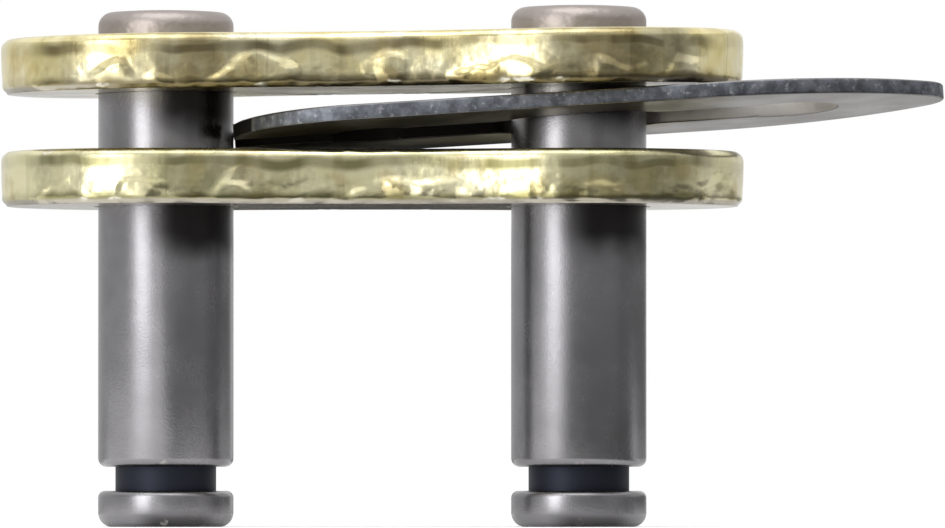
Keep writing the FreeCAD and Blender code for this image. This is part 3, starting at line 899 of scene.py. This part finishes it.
bpy.ops.object.select_all(action="DESELECT")
bpy.ops.mesh.primitive_plane_add(size=FLOOR_SIZE)
floor = bpy.context.object
floor.name = "floor"
floor.data.materials.append(make_floor_paint())

world = bpy.data.worlds.new("surround")
bpy.context.scene.world = world
world.use_nodes = True
background = world.node_tree.nodes["Background"]
background.inputs["Color"].default_value = (1, 1, 1, 1)
background.inputs["Strength"].default_value = 1


def bearing_of(place):
    """Direction of a point from the link, in degrees from -Y, positive towards +X."""
    return math.degrees(math.atan2(place.x, -place.y))


def show_in_metal(thing, tone):
    """Gives a flat one plain tone, and hides it from all but mirrored rays."""
    for visible in ("visible_camera", "visible_diffuse", "visible_shadow", "visible_transmission"):
        setattr(thing, visible, False)
    material = bpy.data.materials.new(thing.name + "_tone")
    material.use_nodes = True
    tree = material.node_tree
    tree.nodes.clear()
    glow = add_node(tree, "Emission", {"Strength": tone})
    output = add_node(tree, "OutputMaterial")
    tree.links.new(glow.outputs["Emission"], output.inputs["Surface"])
    thing.data.materials.append(material)


def stand_flat(name, first, last, foot, top, tone):
    """Curved upright flat between two bearings, of one tone, that only the metal mirrors."""
    bpy.ops.object.select_all(action="DESELECT")
    bpy.ops.mesh.primitive_cylinder_add(
        vertices=FLAT_SIDES, radius=FLAT_RADIUS, depth=top - foot, end_fill_type="NOTHING"
    )
    flat = open_mesh(name)
    bpy.ops.transform.translate(value=(0, 0, (top + foot) / 2))
    pick("FACE", lambda face: not first < bearing_of(face.calc_center_median()) < last)
    bpy.ops.mesh.delete(type="FACE")
    bpy.ops.object.mode_set(mode="OBJECT")
    show_in_metal(flat, tone)


def lay_card(name, first, last, tone):
    """Grey piece of a ring just above the floor, between two bearings, that only metal mirrors."""
    bpy.ops.object.select_all(action="DESELECT")
    bpy.ops.mesh.primitive_circle_add(
        vertices=FLAT_SIDES, radius=FLAT_RADIUS, fill_type="NGON"
    )
    card = open_mesh(name)
    bpy.ops.transform.translate(value=(0, 0, CARD_LEVEL))
    bpy.ops.mesh.select_mode(type="FACE")
    bpy.ops.mesh.inset(thickness=FLAT_RADIUS - CARD_RADIUS, depth=0)
    bpy.ops.mesh.delete(type="FACE")
    pick("FACE", lambda face: not first < bearing_of(face.calc_center_median()) < last)
    bpy.ops.mesh.delete(type="FACE")
    bpy.ops.object.mode_set(mode="OBJECT")
    show_in_metal(card, tone)


PIN_FLATS = (
    (-164, -64, 0.66),
    (-12, 8, 0.5),
    (8, 70, 0.42),
    (70, 98, 0.3),
    (98, 150, 0.24),
)
PLATE_FLATS = (
    (-164, -100, 0.78),
    (-100, -64, 0.58),
    (-12, 28, 0.54),
    (28, 46, 0.32),
    (46, 98, 0.44),
    (98, 150, 0.66),
)
BACK_FLATS = (
    (-172, -150, 0.7),
    (-180, -172, 0.06),
    (169, 180, 0.06),
    (150, 169, 0.9),
)
BACK_CARDS = ((-180, -172, 0.06), (-172, -110, 0.6), (110, 168, 0.7), (168, 180, 0.06))
FRONT_CARD = (-12, 95, 0.16)
for first, last, tone in PIN_FLATS:
    stand_flat(f"flat_low_{first}", first, last, 0, PIN_LEVEL, tone)
for first, last, tone in PLATE_FLATS:
    stand_flat(f"flat_high_{first}", first, last, PIN_LEVEL, FLAT_HEIGHT, tone)
for first, last, tone in BACK_FLATS:
    stand_flat(f"flat_behind_{first}", first, last, 0, PIN_LEVEL, tone)
for first, last, tone in BACK_CARDS:
    lay_card(f"card_behind_{first}", first, last, tone)
lay_card("floor_card", *FRONT_CARD)


LEFT_LAMP_PLACE = (-94 * MM, -108 * MM, 40 * MM)
LEFT_LAMP_TARGET = (0, 0, 10 * MM)
LEFT_LAMP_SIZE = (60 * MM, 110 * MM)
LEFT_LAMP_WATTS = 0.07
CEILING_LAMP_PLACE = (-20 * MM, -60 * MM, 260 * MM)
CEILING_LAMP_TARGET = (0, 0, 0)
CEILING_LAMP_SIZE = (240 * MM, 200 * MM)
CEILING_LAMP_WATTS = 0.3


def turned_to(place, target):
    """Turn that points a lamp or camera at a target."""
    return (Vector(target) - Vector(place)).to_track_quat("-Z", "Y").to_euler()


def hang_lamp(name, place, target, size, watts):
    """Soft rectangular lamp, turned to face a point."""
    bpy.ops.object.light_add(type="AREA", location=place)
    lamp = bpy.context.object
    lamp.name = name
    lamp.data.shape = "RECTANGLE"
    lamp.data.size, lamp.data.size_y = size
    lamp.data.energy = watts
    lamp.rotation_euler = turned_to(place, target)


hang_lamp("lamp_left", LEFT_LAMP_PLACE, LEFT_LAMP_TARGET, LEFT_LAMP_SIZE, LEFT_LAMP_WATTS)
hang_lamp(
    "ceiling_lamp",
    CEILING_LAMP_PLACE,
    CEILING_LAMP_TARGET,
    CEILING_LAMP_SIZE,
    CEILING_LAMP_WATTS,
)

CAMERA_PLACE = (3.85 * MM, -450 * MM, 1.5 * MM)
CAMERA_TARGET = (3.85 * MM, 0, 10.1 * MM)
CAMERA_LENS = 446
CAMERA_SENSOR = 36

bpy.ops.object.camera_add(location=CAMERA_PLACE)
camera = bpy.context.object
camera.data.lens = CAMERA_LENS
camera.data.sensor_width = CAMERA_SENSOR
camera.data.clip_start = 0.01
camera.data.clip_end = 20
camera.rotation_euler = turned_to(CAMERA_PLACE, CAMERA_TARGET)
bpy.context.scene.camera = camera
bpy.context.scene.view_settings.view_transform = "Standard"
